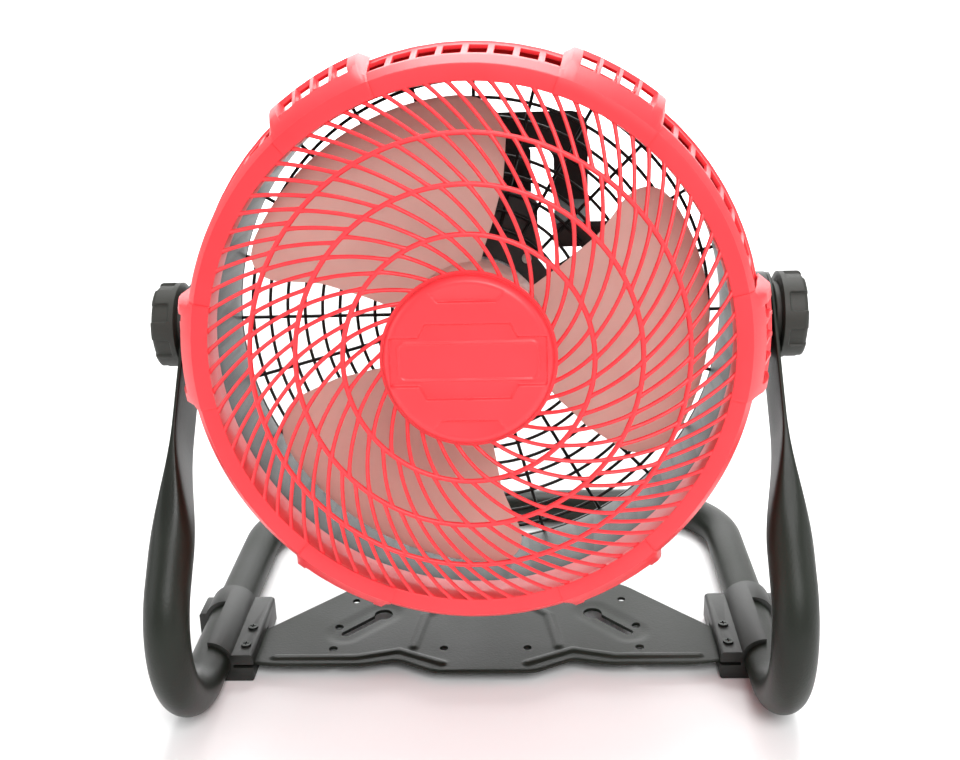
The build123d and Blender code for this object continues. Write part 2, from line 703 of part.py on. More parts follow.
with BuildPart() as pod_cover:
    with BuildSketch(fan.offset(pod_back)):
        with Locations((0, pod_middle)):
            RectangleRounded(2 * pod_half_width, pod_high - pod_low, 10)
        with Locations(*cover_screw_places, (0, dial_y)):
            Circle(screw_radius + 0.1, mode=Mode.SUBTRACT)
        with Locations((0, dial_y)):
            Circle(5.2, mode=Mode.SUBTRACT)
    extrude(amount=-cover_sheet)
    with BuildSketch(fan.offset(cover_back)):
        with Locations(*cover_screw_places):
            Circle(3.6)
    extrude(amount=head_seat, mode=Mode.SUBTRACT)
    with BuildSketch(fan.offset(cover_back)):
        with Locations((-rail_x, 42), (rail_x, 42)):
            Rectangle(rail_width, 70)
    extrude(amount=-rail_depth)
write(pod_cover.part, "pod_cover")
cover_screws_plane = Plane(origin=fan.offset(cover_back + head_seat).origin, x_dir=(1, 0, 0), z_dir=-forward)
write(screw(cover_screws_plane, [(x, -y) for x, y in cover_screw_places], screw_radius, 10.8, 3.4, 1.6), "cover_screws")

with BuildPart() as battery_terminals:
    with BuildSketch(fan.offset(cover_back)):
        with Locations((0, 20)):
            Rectangle(2 * terminal_half_width, 24)
    extrude(amount=-rail_depth)
    with BuildSketch(fan.offset(cover_back - rail_depth)):
        with Locations((-8, 20), (-2.7, 20), (2.7, 20), (8, 20)):
            Rectangle(1, 18)
    extrude(amount=-3)
write(battery_terminals.part, "battery_terminals")

with BuildPart() as speed_switch:
    with BuildSketch(fan.offset(pod_back)):
        with Locations((0, dial_y)):
            RectangleRounded(18, 18, 2)
    extrude(amount=12)
    with BuildSketch(fan.offset(pod_back)):
        with Locations((0, dial_y)):
            Circle(5)
    extrude(amount=-cover_sheet)
    with BuildSketch(fan.offset(cover_back)):
        with Locations((0, dial_y)):
            Circle(3)
    extrude(amount=-9)
write(speed_switch.part, "speed_switch")

with BuildPart() as speed_dial:
    with BuildSketch(fan.offset(cover_back - running_gap)):
        with Locations((0, dial_y)):
            Circle(15)
            with PolarLocations(15.4, 16):
                Circle(1.1, mode=Mode.SUBTRACT)
    extrude(amount=-12)
    with BuildSketch(fan.offset(cover_back - running_gap - 12)):
        with Locations((0, dial_y)):
            SlotOverall(24, 6)
    extrude(amount=-5)
    with BuildSketch(fan.offset(cover_back - running_gap)):
        with Locations((0, dial_y)):
            Circle(3 + shaft_fit)
    extrude(amount=-9.5, mode=Mode.SUBTRACT)
write(speed_dial.part, "speed_dial")

lead_start, lead_end = -13.2, -41.5


def lead_point(y, z):
    """A corner of the motor lead's route."""
    return fan.from_local_coords((lead_place[0], y, z))


# motor lead: from the stator back through the bracket and the grille into the pod
with BuildPart() as motor_lead:
    with BuildLine() as lead_line:
        FilletPolyline(lead_point(0, lead_start), lead_point(0, -34), lead_point(12, -37),
                       lead_point(12, lead_end), radius=4)
    with BuildSketch(Plane(origin=lead_point(0, lead_start), z_dir=-forward)):
        Circle(1.8)
    sweep(path=lead_line.wires()[0])
write(motor_lead.part, "motor_lead")

# ---------------------------------------------------------------- battery
battery_front = cover_back - running_gap
battery_low, battery_high, battery_half_width = 6.0, 112.0, 38.0
base_depth, battery_depth = 9.0, 43.0
battery_middle = (battery_low + battery_high) / 2
channel_end = 92.0
latch_travel = 3.0
cell_radius, cell_length, cell_pitch = 9.0, 65.0, 18.3
battery_screw_places = [(x, y) for x in (-33, 33) for y in (battery_low + 6, battery_high - 6)]

with BuildPart() as battery_base:
    with BuildSketch(fan.offset(battery_front)):
        with Locations((0, battery_middle)):
            RectangleRounded(2 * battery_half_width, battery_high - battery_low, 4)
    extrude(amount=-base_depth)
    with BuildSketch(fan.offset(battery_front)):
        with Locations((-rail_x, channel_end / 2), (rail_x, channel_end / 2)):
            Rectangle(rail_width + 2 * running_gap, channel_end)
    extrude(amount=-rail_depth - running_gap, mode=Mode.SUBTRACT)
    with BuildSketch(fan.offset(battery_front)):
        with Locations((0, 20)):
            Rectangle(2 * (terminal_half_width + running_gap), 40)
    extrude(amount=-rail_depth - 3.2, mode=Mode.SUBTRACT)
    with BuildSketch(fan.offset(battery_front - base_depth)):
        with Locations(*battery_screw_places):
            Circle(screw_radius)
    extrude(amount=2.5, mode=Mode.SUBTRACT)
write(battery_base.part, "battery_base")

case_front = battery_front - base_depth
case_depth = battery_depth - base_depth
with BuildPart() as battery_case:
    with BuildSketch(fan.offset(case_front)):
        with Locations((0, battery_middle)):
            RectangleRounded(2 * battery_half_width, battery_high - battery_low, 8)
    extrude(amount=-case_depth)
    fillet(battery_case.faces().sort_by(fan_axis)[0].edges(), 5)
    with BuildSketch(fan.offset(case_front)):
        with Locations((0, battery_middle - 4)):
            RectangleRounded(2 * (battery_half_width - 2.5), battery_high - battery_low - 13, 6)
    extrude(amount=-case_depth + 2.5, mode=Mode.SUBTRACT)
    with BuildSketch(fan.offset(case_front - 10)):
        with Locations((0, battery_high)):
            Rectangle(30.6, 2 * (4 + latch_travel))
    extrude(amount=-14.6, mode=Mode.SUBTRACT)
write(battery_case.part, "battery_case")

with BuildPart() as battery_cells:
    for n in range(5):
        middle = fan.from_local_coords((-cell_length / 2, battery_low + 12.5 + cell_pitch * n, case_front - 16))
        with BuildSketch(Plane(origin=middle, x_dir=fan.y_dir, z_dir=(1, 0, 0))):
            Circle(cell_radius)
        extrude(amount=cell_length)
write(battery_cells.part, "battery_cells")

with BuildPart() as latch_button:
    with BuildSketch(fan.offset(case_front - 10.3)):
        with Locations((0, battery_high + 0.5)):
            RectangleRounded(30, 7, 1.5)
    extrude(amount=-14)
write(latch_button.part, "latch_button")

# ---------------------------------------------------------------- carry handle
handle_outer, handle_inner = 77.5, 54.0
handle_foot_low, handle_knee, handle_top, bar_low = 45.0, 76.0, 136.5, 112.0
bar_front, bar_back = -46.0, -66.0
foot_end, foot_width, foot_sheet = 109.0, 17.0, 7.0

with BuildPart() as carry_handle:
    with BuildSketch(across_at(-handle_outer)):
        with BuildLine():
            Polyline((handle_foot_low, grille_back), (handle_knee - 16, grille_back), (handle_knee, bar_front),
                     (handle_top, bar_front), (handle_top, bar_back), (handle_knee - 10, bar_back),
                     (handle_foot_low, grille_back - 12), close=True)
        make_face()
    extrude(amount=2 * handle_outer)
    with BuildSketch(fan.offset(grille_back)):
        with Locations((0, (handle_top + handle_foot_low) / 2)):
            RectangleRounded(2 * handle_outer, handle_top - handle_foot_low, 12)
        with Locations((0, (bar_low + handle_foot_low) / 2 - 10)):
            RectangleRounded(2 * handle_inner, bar_low - handle_foot_low + 20, 10, mode=Mode.SUBTRACT)
    extrude(amount=bar_back - grille_back, mode=Mode.INTERSECT)
    with BuildSketch(fan.offset(grille_back)):
        for side in (-1, 1):
            with Locations((side * (handle_inner + foot_end) / 2, handle_foot_y)):
                RectangleRounded(foot_end - handle_inner, foot_width, 4)
    extrude(amount=-foot_sheet)
    with BuildSketch(fan.offset(grille_back)):
        with Locations(*handle_screw_places):
            Circle(screw_radius)
    extrude(amount=-6, mode=Mode.SUBTRACT)
write(carry_handle.part, "carry_handle")
write(screw(fan.offset(grille_face), handle_screw_places, screw_radius, 8.5, 3.4, 1.6), "handle_screws")
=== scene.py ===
"""Looks of a cordless drum fan on a bent-tube stand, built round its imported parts."""
import json
import math

import bmesh
import bpy
import numpy as np
from mathutils import Matrix, Vector

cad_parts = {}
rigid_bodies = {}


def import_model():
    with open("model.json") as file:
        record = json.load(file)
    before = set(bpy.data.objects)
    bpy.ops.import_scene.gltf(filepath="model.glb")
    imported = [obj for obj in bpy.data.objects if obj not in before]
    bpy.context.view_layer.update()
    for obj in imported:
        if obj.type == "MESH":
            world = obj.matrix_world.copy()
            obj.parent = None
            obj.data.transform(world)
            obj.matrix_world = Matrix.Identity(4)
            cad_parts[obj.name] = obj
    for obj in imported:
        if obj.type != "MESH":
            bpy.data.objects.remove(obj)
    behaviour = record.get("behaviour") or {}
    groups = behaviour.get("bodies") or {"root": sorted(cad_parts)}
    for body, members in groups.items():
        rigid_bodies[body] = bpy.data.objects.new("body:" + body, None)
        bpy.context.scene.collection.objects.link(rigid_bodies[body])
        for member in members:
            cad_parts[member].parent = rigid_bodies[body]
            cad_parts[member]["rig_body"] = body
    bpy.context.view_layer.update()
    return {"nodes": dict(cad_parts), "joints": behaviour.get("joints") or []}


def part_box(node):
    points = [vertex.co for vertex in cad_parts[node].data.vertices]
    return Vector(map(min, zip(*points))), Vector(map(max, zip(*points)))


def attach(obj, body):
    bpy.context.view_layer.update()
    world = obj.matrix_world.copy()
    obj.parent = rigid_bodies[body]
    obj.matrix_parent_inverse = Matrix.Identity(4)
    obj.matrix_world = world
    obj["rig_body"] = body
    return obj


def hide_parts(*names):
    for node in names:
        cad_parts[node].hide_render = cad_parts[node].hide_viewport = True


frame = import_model()

# ---------------------------------------------------------------- stand tube
# One length of 28.6 mm steel tube, cold bent into two legs, two floor rails and a crossbar.
# Both ends are pressed flat, rounded and drilled for the tilt studs. The whole stand is powder
# coated in a dark green-grey that shows a fine orange peel.
mm = 0.001
joints = {joint["name"]: joint for joint in frame["joints"]}
pivot = np.array(joints["head_tilt"]["pos_m"]) / mm
forward = np.array(joints["blade_spin"]["axis"])
across = np.array([1.0, 0.0, 0.0])
up = np.cross(forward, across)
tube_high = np.array(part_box("stand_tube")[1]) / mm
tube_radius = 14.3
leg_x = tube_high[0] - tube_radius
leg_lean = math.radians(41.6)
heel_bend, rear_bend = 59.0, 66.0
tab_reach, tab_half_width, tab_half_thickness = 30.0, 22.5, 1.5
flat_until, round_from = 74.0, 162.0
stud_hole = 4.05


def grid(points, around=False):
    """Corners and faces of a surface given as rows of points; around joins the last column to the first."""
    rows, columns = points.shape[:2]
    number = np.arange(rows * columns).reshape(rows, columns)
    if around:
        number = np.hstack([number, number[:, :1]])
    faces = np.stack([number[:-1, :-1], number[:-1, 1:], number[1:, 1:], number[1:, :-1]], -1)
    return points.reshape(-1, 3), faces.reshape(-1, 4)


def piece(name, surfaces, body, material, crease=38.0, weld=0.004):
    """One mesh from several surfaces in millimetres: doubles merged, faces outwards, sharp past the crease."""
    start, corners, faces = 0, [], []
    for points, quads in surfaces:
        corners.append(points)
        faces.append(quads + start)
        start += len(points)
    mesh = bpy.data.meshes.new(name)
    mesh.from_pydata(np.vstack(corners) * mm, [], np.vstack(faces).tolist())
    return placed(name, mesh, body, material, crease, weld)


def shaded(mesh, crease):
    """Smooth shading on all faces, with edges past the crease angle kept sharp."""
    mesh.polygons.foreach_set("use_smooth", np.ones(len(mesh.polygons), bool))
    mesh.set_sharp_from_angle(angle=math.radians(crease))


def placed(name, mesh, body, material, crease=38.0, weld=0.004):
    """A finished object from a mesh that is already in its place."""
    work = bmesh.new()
    work.from_mesh(mesh)
    bmesh.ops.remove_doubles(work, verts=work.verts, dist=weld * mm)
    bmesh.ops.recalc_face_normals(work, faces=work.faces)
    work.to_mesh(mesh)
    work.free()
    shaded(mesh, crease)
    made = bpy.data.objects.new(name, mesh)
    bpy.context.scene.collection.objects.link(made)
    mesh.materials.append(material)
    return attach(made, body)


def finished(made, *modifiers):
    """Adds modifiers, each a type, a name and its settings, and bakes them into the mesh."""
    for kind, settings in modifiers:
        added = made.modifiers.new(kind.lower(), kind)
        for key, value in settings.items():
            setattr(added, key, value)
    bpy.context.view_layer.update()
    evaluated = made.evaluated_get(bpy.context.evaluated_depsgraph_get())
    mesh = bpy.data.meshes.new_from_object(evaluated)
    made.modifiers.clear()
    made.data = mesh
    return made


def drilled(made, cutters, crease=38.0):
    """Cuts closed cutter surfaces, in millimetres, out of a piece."""
    tool = piece(made.name + "_tool", cutters, made["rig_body"], made.data.materials[0])
    finished(made, ("BOOLEAN", {"operation": "DIFFERENCE", "object": tool, "solver": "EXACT"}))
    bpy.data.objects.remove(tool)
    made.data.set_sharp_from_angle(angle=math.radians(crease))
    return made


def bar(centres, outline):
    """A closed prism or cone: an outline of offsets, (columns, 3), carried to each centre in turn and shut
    by a pole at both ends."""
    rows = np.asarray(centres, float)[:, None, :] + outline[None]
    ends = [np.repeat(np.asarray(centre, float)[None], len(outline), 0) for centre in (centres[0], centres[-1])]
    return grid(np.concatenate([ends[0][None], rows, ends[1][None]]), around=True)


class Signal:
    """One socket of a material, so that its sums are written as plain arithmetic."""

    def __init__(self, tree, socket=None):
        self.tree, self.socket = tree, socket

    def node(self, kind, settings=None, inputs=None, output=0):
        """A new node: its settings, then each socket's value or link; gives back one of its outputs."""
        made = self.tree.nodes.new(kind)
        for key, value in (settings or {}).items():
            if key == "stops":
                for stop, (place, colour) in zip(made.color_ramp.elements, value):
                    stop.position, stop.color = place, colour
            else:
                setattr(made, key, value)
        for key, value in (inputs or {}).items():
            if isinstance(value, Signal):
                self.tree.links.new(value.socket, made.inputs[key])
            else:
                made.inputs[key].default_value = value
        return Signal(self.tree, made.outputs[output])

    def maths(self, operation, *values):
        return self.node("ShaderNodeMath", {"operation": operation}, dict(enumerate(values)))

    def __add__(self, other):
        return self.maths("ADD", self, other)

    __radd__ = __add__

    def __sub__(self, other):
        return self.maths("SUBTRACT", self, other)

    def __rsub__(self, other):
        return self.maths("SUBTRACT", other, self)

    def __mul__(self, other):
        return self.maths("MULTIPLY", self, other)

    __rmul__ = __mul__

    def noise(self, size, detail=2.0, rough=0.5):
        """Cloudy noise whose features are about that many millimetres across."""
        sockets = {"Vector": self, "Scale": 1 / (size * mm), "Detail": detail, "Roughness": rough}
        return self.node("ShaderNodeTexNoise", None, sockets)

    def blend(self, first, second):
        """A colour between two others, by this value."""
        return self.node("ShaderNodeMix", {"data_type": "RGBA"}, {0: self, 6: first, 7: second}, 2)

    def between(self, low, high):
        """This value stretched so that low becomes 0 and high becomes 1, held at both ends."""
        sockets = {"Value": self, "From Min": low, "From Max": high}
        return self.node("ShaderNodeMapRange", {"clamp": True}, sockets)

    def relief(self, depth, normal=None):
        """A surface normal from this height, full scale being the depth in millimetres."""
        sockets = {"Height": self, "Distance": depth * mm, "Strength": 1.0}
        if normal is not None:
            sockets["Normal"] = normal
        return self.node("ShaderNodeBump", None, sockets)


def rgb(red, green, blue):
    """Linear colour of an sRGB one given as 0 to 255."""
    share = np.array([red, green, blue]) / 255
    linear = np.where(share <= 0.04045, share / 12.92, ((share + 0.055) / 1.055) ** 2.4)
    return (*linear, 1.0)


def finish(name, build, **constants):
    """A material: constants go on the shader's own sockets, and build links what varies over the surface."""
    material = bpy.data.materials.new(name)
    material.use_nodes = True
    tree = material.node_tree
    shader = tree.nodes["Principled BSDF"]
    for key, value in constants.items():
        shader.inputs[key.replace("_", " ")].default_value = value
    place = Signal(tree).node("ShaderNodeTexCoord", output="Object")
    for socket, signal in build(place).items():
        tree.links.new(signal.socket, shader.inputs[socket])
    return material


def powder_coat(tone):
    """Dark powder coat: orange peel about 1.5 mm across, fine sparkle, slightly chalky patches."""
    def build(place):
        cloud = place.noise(60, 3).between(0.35, 0.7)
        peel = place.noise(1.6, 2, 0.55)
        grit = place.noise(0.5, 1)
        colour = cloud.blend(tone, tuple(channel * 1.5 for channel in tone[:3]) + (1.0,))
        return {"Base Color": colour, "Roughness": 0.34 + cloud * 0.1 + grit * 0.08,
                "Normal": grit.relief(0.03, peel.relief(0.12))}
    return finish("powder_coat", build, Specular_IOR_Level=0.3)


tube_paint = powder_coat(rgb(20, 24, 18))


def pressed_tube():
    """Left half of the stand. The centre line is a straight leg, an arc, a straight rail, an arc and half
    the crossbar. The section is a superellipse: a circle on most of it, and a flat strip by the tilt stud."""
    turn = np.linspace(-leg_lean, math.pi / 2, 40)
    heel_z = tube_radius + heel_bend
    heel_y = (heel_bend - (pivot[2] - heel_z) * math.sin(leg_lean)) / math.cos(leg_lean) + pivot[1]
    heel = np.stack([heel_y - heel_bend * np.cos(turn), heel_z - heel_bend * np.sin(turn)], -1)
    leg_length = (pivot[2] - heel[0, 1]) / math.cos(leg_lean)
    tab = -tab_reach * np.cos(np.linspace(0, math.pi / 2, 16))
    down = np.concatenate([tab, np.linspace(3, flat_until, 12), np.linspace(flat_until + 4, round_from, 28),
                           np.linspace(round_from + 6, leg_length - 5, 8)])
    leg = np.stack([pivot[1] - down * math.sin(leg_lean), pivot[2] - down * math.cos(leg_lean)], -1)
    back_y = tube_high[1] - tube_radius
    rail_y = np.linspace(heel_y + 8, back_y - rear_bend - 8, 14)
    side = np.concatenate([leg, heel, np.stack([rail_y, np.full(14, tube_radius)], -1)])
    side = np.column_stack([np.full(len(side), -leg_x), side])
    sweep = np.linspace(0, math.pi / 2, 30)
    corner = np.stack([rear_bend - leg_x - rear_bend * np.cos(sweep),
                       back_y - rear_bend + rear_bend * np.sin(sweep), np.full(30, tube_radius)], -1)
    bar_x = np.linspace(rear_bend - leg_x + 8, 0, 10)
    middle = np.stack([bar_x, np.full(10, back_y), np.full(10, tube_radius)], -1)
    line = np.concatenate([side, corner, middle])
    along = np.gradient(line, axis=0)
    along /= np.linalg.norm(along, axis=1)[:, None]
    flat = np.arange(len(line)) < len(side)
    wide = np.where(flat[:, None], across, np.cross([0, 0, -1.0], along))
    wide /= np.linalg.norm(wide, axis=1)[:, None]
    deep = np.cross(along, wide)
    reach = np.concatenate([down, np.full(len(line) - len(down), 1e3)])
    share = np.clip((reach - flat_until) / (round_from - flat_until), 0, 1)
    share = share * share * (3 - 2 * share)
    half_deep = tab_half_width + (tube_radius - tab_half_width) * share
    half_deep = half_deep * np.sqrt(np.clip(1 - (np.minimum(reach, 0) / tab_reach) ** 2, 0, 1))
    half_wide = tab_half_thickness + (tube_radius - tab_half_thickness) * share ** 1.15
    power = 2 / (2 + 5 * (1 - share))
    angle = np.linspace(0, 2 * math.pi, 56, endpoint=False)
    cosine, sine = np.cos(angle), np.sin(angle)
    first = np.sign(cosine) * np.abs(cosine) ** power[:, None] * half_wide[:, None]
    second = np.sign(sine) * np.abs(sine) ** power[:, None] * half_deep[:, None]
    return line[:, None] + first[..., None] * wide[:, None] + second[..., None] * deep[:, None]


def mirrored(surface):
    """The same surface on the other side of the fan."""
    points, faces = surface
    return points * [-1, 1, 1], faces[:, ::-1]


def disc_outline(radius, one, other, count=24):
    """Offsets of a circle in the plane of two directions."""
    angle = np.linspace(0, 2 * math.pi, count, endpoint=False)[:, None]
    return radius * (np.cos(angle) * one + np.sin(angle) * other)


half_tube = grid(pressed_tube(), around=True)
tube = piece("stand_tube_bent", [half_tube, mirrored(half_tube)], "stand", tube_paint, crease=50)
stud_axis = [pivot - [leg_x + 8, 0, 0], pivot - [leg_x - 8, 0, 0]]
stud_bore = bar(stud_axis, disc_outline(stud_hole, up, forward))
drilled(tube, [stud_bore, mirrored(stud_bore)], crease=50)
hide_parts("stand_tube")

# ---------------------------------------------------------------- base plate
# A stamping from 2.5 mm steel sheet, between the floor rails: two hang-up keyholes in shallow
# dishes, four mounting holes, and pressed ribs that stiffen it. Powder coated like the stand.
plate_low, plate_high = (np.array(corner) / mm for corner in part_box("base_plate"))
plate_half = plate_high[0]
sheet = 2.5
plate_top = plate_low[2] + sheet
nose_y, wing_y, tail_y = pivot[1] - 67, pivot[1] - 58, pivot[1] + 72


def smoothed(x, places, heights, radius=5.0):
    """Straight runs through the given points with their corners rounded: the mean over a short window."""
    window = np.linspace(-radius, radius, 9)
    return np.mean([np.interp(np.abs(x + shift), places, heights) for shift in window], axis=0)


def step(value):
    """0 below 0 and 1 above 1, with a smooth rise between."""
    value = np.clip(value, 0, 1)
    return value * value * (3 - 2 * value)


def off_line(x, y, corners):
    """Distance of points from a line of straight runs."""
    nearest = np.full(np.shape(x), 1e9)
    for (ax, ay), (bx, by) in zip(corners, corners[1:]):
        run = (bx - ax) ** 2 + (by - ay) ** 2
        share = np.clip(((x - ax) * (bx - ax) + (y - ay) * (by - ay)) / run, 0, 1)
        nearest = np.minimum(nearest, np.hypot(x - ax - share * (bx - ax), y - ay - share * (by - ay)))
    return nearest


def pressed_height(x, y):
    """Height of the pressings: two raised ribs each side, a raised middle arch and dished keyholes."""
    x = np.abs(x)
    rib_line = [(150, wing_y + 9), (92, wing_y + 9), (62, wing_y + 17), (30, nose_y + 10)]
    arch_line = [(52, pivot[1] - 36), (46, pivot[1] + 6), (22, pivot[1] + 30), (22, tail_y - 8)]
    rib = 1.3 * step(1.6 - off_line(x, y, rib_line) / 2.4)
    arch = 1.3 * step(1.5 - off_line(x, y, arch_line) / 3.0)
    slot = ((79.0, pivot[1] + 10), (104.0, pivot[1] - 17))
    dish = 1.1 * step(1.9 - off_line(x, y, slot) / 9.0)
    return np.maximum(rib, arch) - dish * (rib < 0.01) * (arch < 0.01)


def stamped_plate():
    """Plate as two sheets of one grid: across from rail to rail, and from the front edge to the rear one."""
    x = np.linspace(-plate_half, plate_half, 261)[:, None]
    share = np.linspace(0, 1, 101)[None]
    front = smoothed(x, [0, 35, 62, 88, 150, plate_half],
                     [nose_y, nose_y, wing_y + 6, wing_y, wing_y + 1, wing_y + 6])
    rear = smoothed(x, [0, 60, 106, 167, plate_half],
                    [tail_y, tail_y, pivot[1] + 50, pivot[1] - 14, pivot[1] - 15])
    y = front + (rear - front) * share
    x = x + 0 * share
    edge = 0.5 * (1 - step(np.minimum(y - front, rear - y) / 1.2))
    lift = pressed_height(x, y)
    top = np.stack([x, y, plate_top + lift - edge], -1)
    low = np.stack([x, y, plate_top + lift - sheet + edge], -1)
    ring = [np.concatenate([line[0], line[1:, -1], line[-1, -2::-1], line[-2:0:-1, 0]]) for line in (top, low)]
    return [grid(top), grid(low[:, ::-1]), grid(np.stack(ring), around=True)]


def slot_cut(middle, length, width, angle):
    """A cutter with straight sides and round ends, standing through the plate."""
    turn = np.linspace(0, 2 * math.pi, 32, endpoint=False)
    x = width / 2 * np.cos(turn) + np.sign(np.cos(turn)) * (length - width) / 2
    y = width / 2 * np.sin(turn)
    c, s = math.cos(math.radians(angle)), math.sin(math.radians(angle))
    outline = np.stack([c * x - s * y, s * x + c * y, 0 * x], -1)
    return bar([(*middle, plate_low[2] - 3), (*middle, plate_top + 4)], outline)


plate = piece("base_plate_stamped", stamped_plate(), "stand", tube_paint)
cuts = []
for side in (-1, 1):
    cuts.append(slot_cut((side * 91.5, pivot[1] - 3.5), 43, 7, side * -47))
    cuts.append(slot_cut((side * 79, pivot[1] + 10), 14, 14, 0))
    for x, y, width in ((110, -38, 6.4), (110, -8, 6.4), (30, -38, 6.0), (102, 28, 6.0)):
        cuts.append(slot_cut((side * x, pivot[1] + y), width, width, 0))
    for y in (-45, -22):
        cuts.append(slot_cut((side * (plate_half - 7), pivot[1] + y), 4, 4, 0))
for cut in cuts:
    drilled(plate, [cut])
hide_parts("base_plate")

# ---------------------------------------------------------------- tube clips
# Two black nylon mouldings snapped over the floor rails: a long block inside holds the plate's
# edge, a short prong grips outside, and two pan-head screws clamp the plate in each.


def moulded(name, base, roughness, grain=0.7, relief=0.05, marks=0.5):
    """Injection-moulded plastic: spark-eroded grain, faint flow clouds and slightly shinier rubbed patches."""
    def build(place):
        flow = place.noise(35, 3).between(0.3, 0.75)
        texture = place.noise(grain, 2, 0.6)
        rubbed = place.noise(18, 4, 0.65).between(0.55, 0.75)
        darker = tuple(channel * 0.86 for channel in base[:3]) + (1.0,)
        wave = place.noise(14, 1)
        return {"Base Color": flow.blend(base, darker),
                "Roughness": roughness + texture * 0.1 - rubbed * 0.08 * marks,
                "Normal": texture.relief(relief, wave.relief(0.1))}
    return finish(name, build)


def softened(node, edge, material, crease=38.0, angle=32.0):
    """A CAD node's shape, standing for it: doubles merged, flat faces joined, edges rounded."""
    source = frame["nodes"][node]
    mesh = source.data.copy()
    mesh.materials.clear()
    for spare in ("custom_normal", "sharp_face", "sharp_edge"):
        if spare in mesh.attributes:
            mesh.attributes.remove(mesh.attributes[spare])
    work = bmesh.new()
    work.from_mesh(mesh)
    bmesh.ops.remove_doubles(work, verts=work.verts, dist=2e-6)
    bmesh.ops.dissolve_limit(work, angle_limit=math.radians(0.8), verts=work.verts, edges=work.edges)
    work.to_mesh(mesh)
    work.free()
    made = placed(node + "_shape", mesh, source["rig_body"], material, crease)
    finished(made, ("BEVEL", {"width": edge * mm, "segments": 3, "limit_method": "ANGLE",
                              "angle_limit": math.radians(angle), "miter_outer": "MITER_ARC"}))
    shaded(made.data, crease)
    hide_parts(node)
    return made


black_nylon = moulded("black_nylon", rgb(22, 24, 20), 0.42)
for clip in ("tube_clip_left", "tube_clip_right"):
    softened(clip, 1.2, black_nylon)


def repaint(material, *nodes):
    """Gives carried-over CAD nodes a finish."""
    for node in nodes:
        mesh = frame["nodes"][node].data
        mesh.materials.clear()
        mesh.materials.append(material)


def plated_steel(name, base, roughness):
    """Zinc-plated steel: bright, with fine brushed streaks and duller blotches."""
    def build(place):
        blotch = place.noise(5, 4, 0.6).between(0.4, 0.7)
        streak = place.noise(0.3, 2)
        duller = tuple(channel * 0.7 for channel in base[:3]) + (1.0,)
        return {"Base Color": blotch.blend(base, duller),
                "Roughness": roughness + blotch * 0.18 + streak * 0.08,
                "Normal": streak.relief(0.01)}
    return finish(name, build, Metallic=1.0)


zinc = plated_steel("zinc_plate", rgb(196, 198, 194), 0.28)
black_steel = plated_steel("blackened_screws", rgb(70, 72, 70), 0.36)
repaint(black_steel, "clip_screws")

# ---------------------------------------------------------------- front grille
# One coral-red ABS moulding: a flat rim, three rings and four zones of swirled spokes that rise to
# a hub, and six lugs that step back over the drum, each with four slots. It clips on without tools.
rim_radius, rim_inner, rim_front = 165.0, 155.3, 112.4
dome_places = [(51.0, 15.0), (72.1, 19.3), (99.7, 18.2), (127.5, 11.0), (156.8, -2.0)]
dome = np.polyfit(*np.transpose(dome_places), 4)
grille_rings = (72.1, 99.7, 127.5)
zones = [(30, 49.5, 72.1, 6.6), (40, 72.1, 99.7, 0.0), (60, 99.7, 127.5, -1.4), (80, 127.5, 156.6, 1.9)]
swirl = 0.9
spoke_half_width, spoke_half_depth = 1.2, 1.4
lug_half_angle, recess_half_angle, lug_slot_pitch = 11.25, 7.9, 4.1
red_plastic = moulded("red_abs", rgb(240, 52, 60), 0.36, grain=0.5, relief=0.03)


def on_fan(x, y, h):
    """Points in the fan's own frame, across, up its face and forward along the air, put in the row frame."""
    x, y, h = (np.asarray(values)[..., None] for values in (x, y, h))
    return pivot + x * across + y * up + h * forward


def on_drum(radius, angle, h):
    """Points at a radius, an angle in degrees seen from the front, and a distance forward."""
    turn = np.radians(angle)
    return on_fan(radius * np.cos(turn), radius * np.sin(turn), h + 0 * turn)


def rounded(corners, radius, count=5):
    """A closed outline with each corner turned into a short curve: quadratic Bezier arcs between runs."""
    corners = np.asarray(corners, float)
    before, after = np.roll(corners, 1, 0) - corners, np.roll(corners, -1, 0) - corners
    before_length, after_length = np.linalg.norm(before, axis=1), np.linalg.norm(after, axis=1)
    cut = np.minimum(radius, 0.45 * np.minimum(before_length, after_length))[:, None]
    start = corners + before / before_length[:, None] * cut
    end = corners + after / after_length[:, None] * cut
    share = np.linspace(0, 1, count)[None, :, None]
    curve = (1 - share) ** 2 * start[:, None] + 2 * share * (1 - share) * corners[:, None]
    curve = curve + share ** 2 * end[:, None]
    return curve.reshape(-1, 2)


def turned(outline, steps=240, closed=True):
    """A surface of revolution about the fan's axis from (radius, forward) points."""
    outline = np.asarray(outline, float)
    if closed:
        outline = np.vstack([outline, outline[:1]])
    angle = np.linspace(0, 360, steps, endpoint=False)
    return grid(on_drum(outline[:, :1], angle[None], outline[:, 1:]), around=True)


def hoop(radius, half_width, half_depth, h, steps=180, sides=12):
    """A ring of oval section about the fan's axis."""
    turn = np.linspace(0, 2 * math.pi, sides, endpoint=False)
    section = np.column_stack([radius + half_width * np.cos(turn), h + half_depth * np.sin(turn)])
    return turned(section, steps)


def rods(centre, sideways, half_width, half_depth, sides=8):
    """Many oval rods at once: centre lines (rods, points, 3), with a sideways direction at each point."""
    turn = np.linspace(0, 2 * math.pi, sides, endpoint=False)
    wide = sideways[:, :, None] * np.cos(turn)[:, None] * np.asarray(half_width)[..., None, None]
    skin = centre[:, :, None] + wide + forward * (np.sin(turn) * half_depth)[:, None]
    ends = [np.repeat(centre[:, place, None], sides, 1)[:, None] for place in (0, -1)]
    return [grid(one, around=True) for one in np.concatenate([ends[0], skin, ends[1]], 1)]


